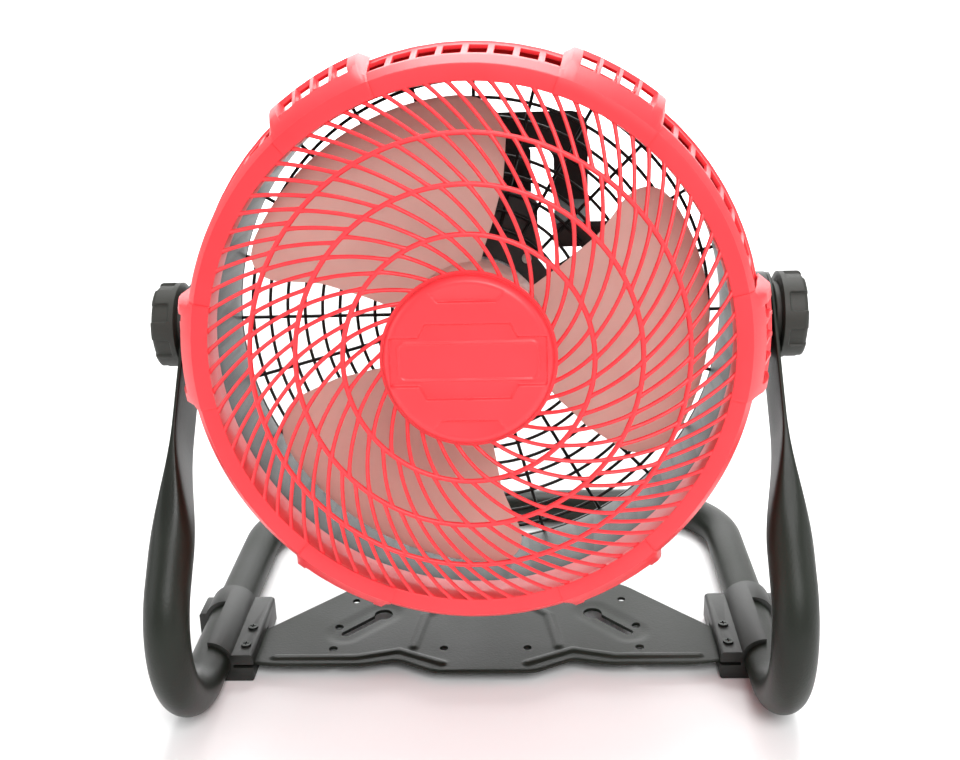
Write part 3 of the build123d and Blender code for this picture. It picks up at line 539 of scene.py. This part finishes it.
def swirled_spokes(count, inner, outer, phase):
    """Spokes of one zone: logarithmic spirals, angle = swirl * ln(r / inner), lying on the dome."""
    radius = np.linspace(inner, outer, 13)[None]
    angle = phase + 360 / count * np.arange(count)[:, None] + np.degrees(swirl * np.log(radius / inner))
    h = rim_front + np.polyval(dome, np.maximum(radius, 51.0)) + 0 * angle
    centre = on_drum(radius + 0 * angle, angle, h)
    along = np.gradient(centre, axis=1)
    sideways = np.cross(along, forward)
    sideways /= np.linalg.norm(sideways, axis=2)[..., None]
    root = np.minimum(radius - inner, outer - radius)
    half_width = spoke_half_width * (1 + 0.45 * np.exp(-root / 1.6))
    return rods(centre, sideways, half_width + 0 * angle, spoke_half_depth)


rim_outline = [(rim_inner, 98), (rim_inner, rim_front), (rim_radius, rim_front), (170, 104), (170, 98),
               (167.5, 98), (167.5, 103), (164, 109.4), (158.3, 109.4), (157.6, 98)]
hub_outline = [(0, rim_front + 13.6), (51.3, rim_front + 13.6), (51.3, rim_front + 16.4), (0, rim_front + 16.4)]
surfaces = [turned(hub_outline, 120, closed=False)]
surfaces += [hoop(r, 1.5, 1.6, rim_front + np.polyval(dome, r)) for r in grille_rings]
for zone in zones:
    surfaces += swirled_spokes(*zone)
grille = piece("front_grille_moulding", surfaces, "head", red_plastic, crease=50)
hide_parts("front_grille")
rim = piece("front_grille_rim", [turned(rounded(rim_outline, 0.45), 480)], "head", red_plastic, crease=16)

lip_rows = [(155.3, 110.4), (155.3, 113.4), (165, 113.4)]
end_rows = lip_rows + [(168.8, 107.5), (171.4, 98), (173.8, 88), (176, 77), (179, 64), (180.4, 60),
                       (181.5, 51.2)]
ear_rows = lip_rows + [(171.5, 105.5), (177, 97.5), (181.5, 84), (184, 74), (185.6, 64), (185.9, 60),
                       (185.9, 51.2)]
floor_rows = lip_rows + [(171.5, 105.5), (174.8, 100.6), (175.2, 92), (175.8, 80), (182.8, 62.5), (185.9, 60),
                         (185.9, 51.2)]
through_row = 6


def lug(middle):
    """A lug's skin: rows run from the rim back over the drum, columns across it. Its two ends rise from
    the rim's slope to full height over 1.6 degrees; the slotted middle has a sunk floor and a thick roof."""
    rise = np.array([0.0, 0.33, 0.66, 1.0])
    end_angles = -lug_half_angle + 1.6 * rise
    inner = np.array([-1.5, -0.5, 0.5, 1.5]) * lug_slot_pitch
    cells = np.sort(np.concatenate([inner - 1.45, inner + 1.45]))
    angles = np.concatenate([end_angles, [-recess_half_angle - 0.01], [-recess_half_angle], cells])
    angles = np.concatenate([angles, [recess_half_angle, recess_half_angle + 0.01], -end_angles[::-1]])
    height = np.concatenate([rise, [1, 1], np.ones(8), [1, 1], rise[::-1]])[None, :, None]
    sunk = (np.abs(angles) <= recess_half_angle)[None, :, None]
    rows = np.array(end_rows)[:, None] * (1 - height) + np.array(ear_rows)[:, None] * height
    rows = np.where(sunk, np.array(floor_rows)[:, None], rows)
    points = on_drum(rows[..., 0], middle + angles[None], rows[..., 1])
    flat, faces = grid(points)
    column = np.searchsorted(angles, cells[::2])
    dropped = [through_row * (len(angles) - 1) + place for place in column]
    return flat, np.delete(faces, dropped, axis=0)


def lug_rib(angle):
    """A thin five-sided rib that stands in a lug's recess, flush with its slope."""
    corners = [(174.6, 100.4), (185.0, 66.5), (184.6, 61), (179, 66), (174.8, 82)]
    rows = np.array(corners + corners[:1])
    sides = np.degrees(1.1 / 180) * np.array([-1, 1])
    skin = on_drum(rows[:, :1], angle + sides[None], rows[:, 1:])
    middle = np.mean(corners, axis=0)
    ends = [on_drum(np.full(6, middle[0]), angle + side, np.full(6, middle[1])) for side in sides]
    return grid(np.stack([ends[0], skin[:, 0], skin[:, 1], ends[1]]))


lugs = []
for place in range(6):
    skin = piece(f"lug_{place}", [lug(60 * place)], "head", red_plastic)
    finished(skin, ("SOLIDIFY", {"thickness": 2.2 * mm, "offset": -1.0, "use_even_offset": True}))
    lugs.append(skin)
ribs = [lug_rib(60 * place + lug_slot_pitch * k) for place in range(6) for k in (-1, 0, 1)]
lugs.append(piece("lug_ribs", ribs, "head", red_plastic))
with bpy.context.temp_override(active_object=lugs[0], selected_editable_objects=lugs):
    bpy.ops.object.join()
lugs[0].name = "grille_lugs"
finished(lugs[0], ("BEVEL", {"width": 0.5 * mm, "segments": 2, "limit_method": "ANGLE", "angle_limit": 0.6}))
shaded(lugs[0].data, 30)

# ---------------------------------------------------------------- grille cap
# A red ABS disc snapped into the middle of the grille: a broad rounded edge, a sunk band with a
# fine raised frame, and a sloping step above and below. The real mark is left out.
cap_radius, cap_back, cap_front = 49.5, 128.8, 135.8
band = [(-44.8, -14), (-28.3, -14), (-24.2, -21.8), (24.2, -21.8), (28.3, -14), (44.8, -14),
        (44.8, 14), (28.3, 14), (24.2, 21.8), (-24.2, 21.8), (-28.3, 14), (-44.8, 14), (-44.8, -14)]


def cap_face():
    """Height of the cap: a flat top, an elliptical edge, a sunk band, a raised hairline frame, and two
    floors that slope down from the edge towards the middle and end in a step."""
    angle = np.linspace(0, 360, 400, endpoint=False)[None]
    outer = 44 + 5.5 * np.sin(np.linspace(0.05, 1, 18) * math.pi / 2)
    radius = np.concatenate([[0.01], np.linspace(1, 44, 100), outer])[:, None]
    x, y = radius * np.cos(np.radians(angle)), radius * np.sin(np.radians(angle))
    edge = np.clip((radius - 44) / 5.5, 0, 1)
    h = cap_front - 5.5 * (1 - np.sqrt(1 - edge ** 2)) + 0 * angle
    waist = np.where(np.abs(x) < 26.3, 21.8, 14.0)
    slanted = np.interp(np.abs(x), [24.2, 28.3], [21.8, 14.0])
    half_height = np.where((np.abs(x) > 24.2) & (np.abs(x) < 28.3), slanted, waist)
    inside = np.minimum(half_height - np.abs(y), 44.8 - np.abs(x))
    wall = off_line(x, y, band) * np.where(inside > 0, 1, -1)
    h -= 1.9 * step((wall + 0.5) / 1.0) * (edge < 1)
    frame_gap = np.hypot(np.maximum(np.abs(x) - 36, 0), np.maximum(np.abs(y) - 6.85, 0)) - 4
    h += 0.7 * (1 - step((np.abs(frame_gap) - 0.4) / 0.6))
    ledge = (np.abs(y) - 34.5) - 1.1 * np.maximum(np.abs(x) - 16.5, 0)
    slope = np.clip((46 - radius) / 10, 0, 1)
    h -= 2.0 * slope * step((ledge + 0.4) / 0.9)
    skirt = on_drum(np.full_like(angle, cap_radius), angle, np.full_like(angle, cap_back))
    under = on_drum(np.full_like(angle, 0.01), angle, np.full_like(angle, cap_back))
    return grid(np.concatenate([on_drum(radius + 0 * angle, angle + 0 * radius, h), skirt, under]), around=True)


cap = piece("grille_cap_disc", [cap_face()], "head", red_plastic, crease=60, weld=0.03)
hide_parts("grille_cap")

# ---------------------------------------------------------------- front shroud
# The red front half of the drum: an outer skin with a band of air windows, a flange that the
# grille's lugs hook on, and an inner duct round the blades, moulded as one piece.
shroud_back = 33.0
window_pitch, window_half, lug_window_half = 5.0, 1.85, 1.4


def shroud_skin():
    """Outer skin: rows from the rim back to the joint, columns round the drum on the windows' edges."""
    rows = [(170, 97.9), (171.5, 90), (174.5, 75), (177.4, 60), (178.4, 56), (179.8, 55), (179.8, 49),
            (178, 48), (178, shroud_back)]
    gaps = np.array([60 * k + 30 + window_pitch * (n - 3.5) for k in range(6) for n in range(8)])
    slots = np.array([60 * k + lug_slot_pitch * (n - 1.5) for k in range(6) for n in range(4)]) % 360
    edges = np.concatenate([gaps - window_half, gaps + window_half,
                            slots - lug_window_half, slots + lug_window_half])
    angles = np.sort(np.round(edges % 360, 4))
    rows = np.array(rows)[:, None]
    under_lug = np.abs((angles + 30) % 60 - 30) < recess_half_angle
    radius = np.where(under_lug[None], np.minimum(rows[..., 0], 178), rows[..., 0])
    points = on_drum(radius, angles[None], rows[..., 1] + 0 * radius)
    flat, faces = grid(points, around=True)
    first_edges = np.concatenate([gaps - window_half, slots - lug_window_half]) % 360
    starts = np.searchsorted(angles, np.round(first_edges, 4))
    dropped = [row * len(angles) + place for place in starts for row in (1, 2)]
    return flat, np.delete(faces, dropped, axis=0)


skin = piece("front_shroud_drum", [shroud_skin()], "head", red_plastic)
finished(skin, ("SOLIDIFY", {"thickness": 2.6 * mm, "offset": -1.0, "use_even_offset": True}),
         ("BEVEL", {"width": 0.35 * mm, "segments": 2, "limit_method": "ANGLE", "angle_limit": 0.6}))
shaded(skin.data, 30)
duct_outline = [(158, 97.9), (160, 97.9), (162.5, 70.1), (160.5, 70.1)]
front_ring, web = [[(inner, back), (outer, back), (outer, front), (inner, front)]
                   for inner, outer, back, front in ((158, 169, 95.9, 97.9), (164.9, 176.5, 46, 48.5))]
duct_rings = [turned(outline) for outline in (duct_outline, front_ring, web)]
duct = piece("front_shroud_duct", duct_rings, "head", red_plastic)
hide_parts("front_shroud")

# ---------------------------------------------------------------- rear housing
# The black rear half of the drum, moulded with the two round pivot bosses. Zinc-plated studs and
# nylon friction washers sit in the bosses, and six short screws hold the rear grille inside its lip.
black_abs = moulded("black_abs", rgb(22, 22, 20), 0.4)
softened("rear_housing", 0.8, black_abs)
washer_nylon = moulded("washer_nylon", rgb(52, 52, 50), 0.5)
repaint(zinc, "pivot_studs")
repaint(washer_nylon, "friction_washers")
repaint(black_steel, "grille_screws")

# ---------------------------------------------------------------- rear grille
# Black ABS guard behind the blades: a centre plate for the motor and the pod, nine rings,
# twenty-four straight ribs, and two round pads for the handle's screws.
guard_back, guard_front = -26.5, -23.5
centre_disc, first_ring, ring_pitch, guard_ribs = 56.0, 61.0, 12.3, 24
guard_h = (guard_back + guard_front) / 2
rim_section = [(167, guard_back), (174.2, guard_back), (174.2, guard_front), (167, guard_front)]
disc_section = [(0.01, guard_back), (centre_disc, guard_back), (centre_disc, guard_front), (0.01, guard_front)]
guard = [turned(rounded(rim_section, 0.8))]
guard += [hoop(first_ring + ring_pitch * k, 1.2, 1.45, guard_h, sides=10) for k in range(9)]
rib_radius = np.linspace(50, 169, 9)[None] + np.zeros((guard_ribs, 1))
rib_angle = np.arange(guard_ribs)[:, None] * 360 / guard_ribs + 0 * rib_radius
rib_centre = on_drum(rib_radius, rib_angle, np.full_like(rib_radius, guard_h))
rib_side = np.cross(np.gradient(rib_centre, axis=1), forward)
rib_side /= np.linalg.norm(rib_side, axis=2)[..., None]
guard += rods(rib_centre, rib_side, np.full_like(rib_radius, 1.25), 1.45)
guard.append(turned(rounded(disc_section, 0.6), 96))
for side in (-1, 1):
    pad = on_fan(side * 99.5, 53.5, guard_back)
    steps = [pad + forward * depth for depth in (0, 0.5, 2.5, 3.0)]
    radii = (10.4, 11, 11, 10.4)
    rows = np.stack([at + disc_outline(r, across, up, 40) for at, r in zip(steps, radii)])
    poles = [np.repeat(rows[k].mean(0)[None], 40, 0)[None] for k in (0, -1)]
    guard.append(grid(np.concatenate([poles[0], rows, poles[1]]), around=True))
guard = piece("rear_grille_guard", guard, "head", black_abs, crease=50)
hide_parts("rear_grille")

# ---------------------------------------------------------------- clamp knobs
# Glass-filled black nylon knobs with seven sunk finger flats, moulded round brass inserts. They
# screw onto the studs and press the stand's flat ends against the bosses.
knob_radius, knob_flats, flat_half, flat_depth = 29.0, 7, 6.6, 1.7
knob_nylon = moulded("knob_nylon", rgb(36, 38, 32), 0.52, grain=0.9, relief=0.08)


def knob(side):
    """A knob: rows run out from the tab along the tilt axis, columns round it. Each flat is a rounded
    rectangle sunk in the rim, open at the outer face, and the face is dished about a raised centre."""
    low, high = (np.array(corner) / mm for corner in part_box("knob_right"))
    start, face = low[0], high[0]
    turn = np.linspace(0, 360, 504, endpoint=False)[None]
    flange = [(start, 7.2), (start, 21.4), (start + 0.6, 22), (start + 3.4, 22), (start + 3.4, 27.4),
              (start + 4.2, knob_radius)]
    barrel = [(x, knob_radius) for x in np.linspace(start + 4.8, face - 3.0, 40)]
    edge = [(face - 3 + 3 * math.sin(turned_by), knob_radius - 3 + 3 * math.cos(turned_by))
            for turned_by in np.linspace(0.15, math.pi / 2, 9)]
    dish = [(face, 24.5), (face - 0.9, 23.6), (face - 0.9, 13), (face - 0.3, 12.2), (face - 0.3, 0.01)]
    outline = np.array(flange + barrel + edge + dish)
    along, radius = outline[:, :1], outline[:, 1:]
    offset = (turn - 34 + 180 / knob_flats) % (360 / knob_flats) - 180 / knob_flats
    span = np.radians(offset) * knob_radius
    corner = np.hypot(np.maximum(np.abs(span) - flat_half + 1.6, 0), np.maximum(start + 9.4 - along, 0))
    sunk = step((1.6 - corner) / 0.7 + 0.5) * (along > start + 7) * (radius > 24)
    radius = radius - flat_depth * sunk
    across_side = side * (along + 0 * turn)
    around = np.radians(turn)
    points = np.array([0.0, pivot[1], pivot[2]]) + across_side[..., None] * across
    points = points + (radius * np.sin(around))[..., None] * [0, 0, 1]
    points = points - (radius * np.cos(around))[..., None] * [0, 1, 0]
    bore = points[:1] * [0, 1, 1] + np.array([side * (start + 13.5), 0, 0])
    return grid(np.concatenate([bore, points]), around=True)


for side, name in ((-1, "knob_left"), (1, "knob_right")):
    made = piece(name + "_grip", [knob(side)], name, knob_nylon, crease=45)
    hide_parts(name)
brass = plated_steel("brass", rgb(206, 168, 92), 0.3)
repaint(brass, "knob_insert_left", "knob_insert_right")

# ---------------------------------------------------------------- fan blades
# One moulding of frosted polypropylene: three broad cambered blades swept round a hollow hub that
# slips over the motor's bell and is held by one nut. Light shows softly through the blades.
hub_radius, blade_tip = 46.0, 148.5
blade_sheet = 2.2
blade_angles = (2, 122, 242)
camber = [(-115, 38), (0, 52), (115, 78)]
camber_fit = np.polyfit(*np.transpose(camber), 2)


def frosted(base):
    """Frosted polypropylene: satin face, cloudy depth, light passing from behind."""
    material = finish("frosted_blade", lambda place: {
        "Base Color": place.noise(30, 3).between(0.3, 0.75).blend(
            base, tuple(channel * 0.9 for channel in base[:3]) + (1.0,)),
        "Roughness": 0.34 + place.noise(0.8, 2) * 0.12,
        "Normal": place.noise(0.8, 2, 0.6).relief(0.03)}, Specular_IOR_Level=0.5)
    tree = material.node_tree
    shader, output = tree.nodes["Principled BSDF"], tree.nodes["Material Output"]
    glow = Signal(tree).node("ShaderNodeBsdfTranslucent", None, {"Color": base})
    mix = Signal(tree).node("ShaderNodeMixShader", None, {0: 0.35, 1: Signal(tree, shader.outputs[0]), 2: glow})
    tree.links.new(mix.socket, output.inputs["Surface"])
    return material


def blade(middle):
    """A blade: rows from the hub to the tip, columns from its trailing to its leading edge. Seen from the
    front its edges swing from 38 degrees at the hub to 42 at the tip, with round tip corners; it lies on a
    parabola that pitches its leading edge forward, and thins to round edges."""
    share = np.linspace(0, 1, 61)[:, None]
    radius = 43 + (blade_tip - 43) * share
    fall = np.clip((radius - (blade_tip - 26)) / 26, 0, 1)
    nip = 11.5 * (1 - np.sqrt(1 - np.minimum(fall, 0.999) ** 2))
    high = np.interp(radius, [43, 70, 100, blade_tip], [38, 36.6, 37, 43]) - nip
    low = np.interp(radius, [43, 70, 95, blade_tip], [-38, -42.5, -44, -41]) + nip
    slide = np.linspace(-1, 1, 97)[None]
    slide = np.sin(slide * math.pi / 2)
    angle = (high + low) / 2 + (high - low) / 2 * slide
    tangent = radius * np.sin(np.radians(angle))
    centre = np.polyval(camber_fit, tangent)
    thick = blade_sheet / 2 * np.sqrt(np.clip(1 - np.abs(slide) ** 10, 0, 1))
    thick = thick * np.sqrt(np.clip(1 - share ** 30, 0, 1))
    front = on_drum(radius + 0 * angle, middle + angle, centre + thick)
    back = on_drum(radius + 0 * angle, middle + angle, centre - thick)
    root = np.stack([front[0], back[0]])
    return [grid(front), grid(back[:, ::-1]), grid(root)]


hub_outline = [(hub_radius, 34), (hub_radius, 72), (44.6, 76.5), (41, 79.6), (4, 79.9), (4, 33), (12, 33),
               (12, 77), (40, 77), (43, 73), (43, 34)]
blades = [turned(rounded(hub_outline, 1.0), 144)]
for middle in blade_angles:
    blades += blade(middle)
frosted_blade = frosted(rgb(240, 204, 194))
blades = piece("fan_blades_moulding", blades, "rotor", frosted_blade, crease=50, weld=0.02)
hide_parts("fan_blades")

# ---------------------------------------------------------------- motor
# A brushless outer-rotor motor: cast bracket with two ball bearings, wound stator, drawn steel bell
# with a magnet ring inside, and a hardened shaft. Four screws hold it to the guard's centre plate.


def laminated(place):
    """Stacked lamination sheets: fine dark lines square to the fan's axis."""
    sockets = {"Vector": place, "Scale": 1 / (0.9 * mm), "Distortion": 0.3}
    lines = place.node("ShaderNodeTexWave", {"wave_type": "BANDS", "bands_direction": "Y"}, sockets, 1)
    return {"Base Color": lines.blend(rgb(92, 92, 94), rgb(140, 141, 144)), "Roughness": 0.42 + lines * 0.12,
            "Normal": lines.relief(0.05)}


def wound(place):
    """Enamelled copper wire, turn beside turn."""
    sockets = {"Vector": place, "Scale": 1 / (1.6 * mm), "Distortion": 0.6}
    turns = place.node("ShaderNodeTexWave", {"wave_type": "BANDS", "bands_direction": "DIAGONAL"}, sockets, 1)
    return {"Base Color": turns.blend(rgb(120, 52, 24), rgb(196, 104, 52)), "Roughness": 0.28 + turns * 0.1,
            "Normal": turns.relief(0.15)}


cast_aluminium = plated_steel("cast_aluminium", rgb(168, 170, 172), 0.48)
laminations = finish("laminations", laminated, Metallic=0.8)
copper_wire = finish("copper_wire", wound, Metallic=0.7)
magnet_grey = plated_steel("magnet_nickel", rgb(120, 122, 126), 0.36)
lead_sheath = moulded("lead_sheath", rgb(30, 30, 32), 0.5)
repaint(cast_aluminium, "motor_bracket")
repaint(zinc, "motor_bearings", "motor_shaft", "motor_bell", "motor_screws", "blade_nut")
repaint(zinc, "pod_screws", "handle_screws")
repaint(magnet_grey, "rotor_magnets")
repaint(laminations, "motor_stator")
repaint(copper_wire, "stator_coils")
repaint(lead_sheath, "motor_lead")

# ---------------------------------------------------------------- control pod and speed dial
# A black ABS box screwed behind the guard's centre plate, with a screwed cover that carries the
# battery rails, and inside it the speed switch and the motor's control board.


def circuit_board(place):
    """Green solder mask with fine copper tracks under it."""
    sockets = {"Vector": place, "Scale": 1 / (6 * mm), "Mortar Size": 0.06}
    tracks = place.node("ShaderNodeTexBrick", None, sockets, 1)
    return {"Base Color": tracks.blend(rgb(18, 74, 40), rgb(46, 120, 66)), "Roughness": 0.3 + tracks * 0.15,
            "Normal": tracks.relief(0.03)}


softened("control_pod", 1.5, black_abs)
softened("pod_cover", 0.8, black_abs)
dial_nylon = moulded("dial_nylon", rgb(52, 53, 50), 0.46)
softened("speed_dial", 0.6, dial_nylon)
repaint(finish("circuit_board", circuit_board), "control_board")
repaint(black_steel, "cover_screws")
repaint(black_nylon, "battery_terminals", "speed_switch")

# ---------------------------------------------------------------- battery pack
# A slide-on pack: black rail base, grey case screwed to it, five cells inside, and a red latch
# button on top that holds the pack on the rails.
battery_grey = moulded("battery_grey", rgb(128, 129, 128), 0.44)
softened("battery_base", 0.8, black_abs)
softened("battery_case", 1.2, battery_grey)
softened("latch_button", 0.9, red_plastic)
cell_wrap = moulded("cell_wrap", rgb(46, 118, 150), 0.3)
repaint(cell_wrap, "battery_cells")

# ---------------------------------------------------------------- carry handle
# A black ABS arch over the pod, with two feet screwed through the guard's round pads.
softened("carry_handle", 2.6, black_abs)

# ---------------------------------------------------------------- floor, light and camera
# A plain pale studio: seamless floor, soft lights in front and above, two side fills, a lit backdrop.
camera_place = Vector((0.03548, -0.79065, 0.48214))
camera_pitch, camera_yaw, camera_roll = (math.radians(angle) for angle in (19.976, 2.638, -1.821))
lens_mm, sensor_mm = 44.066, 36.0


def pale_floor():
    """A floor that curves up into a backdrop: flat, a quarter circle, and a wall."""
    bend = np.linspace(0, math.pi / 2, 20)
    curve = np.column_stack([2200 + 900 * np.sin(bend), 900 - 900 * np.cos(bend)])
    profile = np.concatenate([[(-2400, 0)], curve, [(3100, 3200)]])
    x = np.array([-4500.0, 4500.0])
    y, z = profile[:, :1] + 0 * x[None], profile[:, 1:] + 0 * x[None]
    points = np.stack([x[None] + 0 * y, y, z], -1)
    return grid(points)


def floor_paint(place):
    tone = place.noise(400, 2)
    return {"Base Color": tone.blend(rgb(246, 246, 246), rgb(240, 240, 240)), "Roughness": 0.75 + tone * 0.1}


points, faces = pale_floor()
floor_mesh = bpy.data.meshes.new("floor")
floor_mesh.from_pydata(points * mm, [], faces[:, ::-1].tolist())
floor = bpy.data.objects.new("floor", floor_mesh)
floor_mesh.materials.append(finish("floor_paint", floor_paint))
bpy.context.scene.collection.objects.link(floor)

world = bpy.data.worlds.new("studio")
world.use_nodes = True
world.node_tree.nodes["Background"].inputs["Color"].default_value = (1, 1, 1, 1)
world.node_tree.nodes["Background"].inputs["Strength"].default_value = 0.5
bpy.context.scene.world = world
middle, wall = (0.0, -0.03, 0.24), (0.0, 3.1, 1.3)
for name, place, aim, size, power in (("key", (0.5, -1.7, 1.7), middle, 0.9, 36),
                                      ("top", (0.1, 0.6, 1.9), middle, 1.3, 38),
                                      ("left_fill", (-1.8, -0.6, 0.8), middle, 1.2, 9),
                                      ("right_fill", (1.9, -0.3, 0.7), middle, 1.2, 7),
                                      ("backdrop", (0.0, 1.3, 1.6), wall, 2.4, 150)):
    lamp = bpy.data.lights.new(name, "AREA")
    lamp.size, lamp.energy = size, power
    light = bpy.data.objects.new(name, lamp)
    light.location = place
    light.rotation_euler = (Vector(aim) - Vector(place)).to_track_quat("-Z", "Y").to_euler()
    bpy.context.scene.collection.objects.link(light)

lens = bpy.data.cameras.new("camera")
lens.lens, lens.sensor_width = lens_mm, sensor_mm
lens.clip_start, lens.clip_end = 0.02, 30
camera = bpy.data.objects.new("camera", lens)
look = Vector((-math.sin(camera_yaw) * math.cos(camera_pitch),
               math.cos(camera_yaw) * math.cos(camera_pitch), -math.sin(camera_pitch)))
level = Vector((math.cos(camera_yaw), math.sin(camera_yaw), 0))
rise = level.cross(look)
side_axis = level * math.cos(camera_roll) + rise * math.sin(camera_roll)
top_axis = rise * math.cos(camera_roll) - level * math.sin(camera_roll)
facing = Matrix((side_axis, top_axis, -look)).transposed().to_4x4()
camera.matrix_world = Matrix.Translation(camera_place) @ facing
bpy.context.scene.collection.objects.link(camera)
bpy.context.scene.camera = camera
bpy.context.scene.view_settings.view_transform = "Standard"
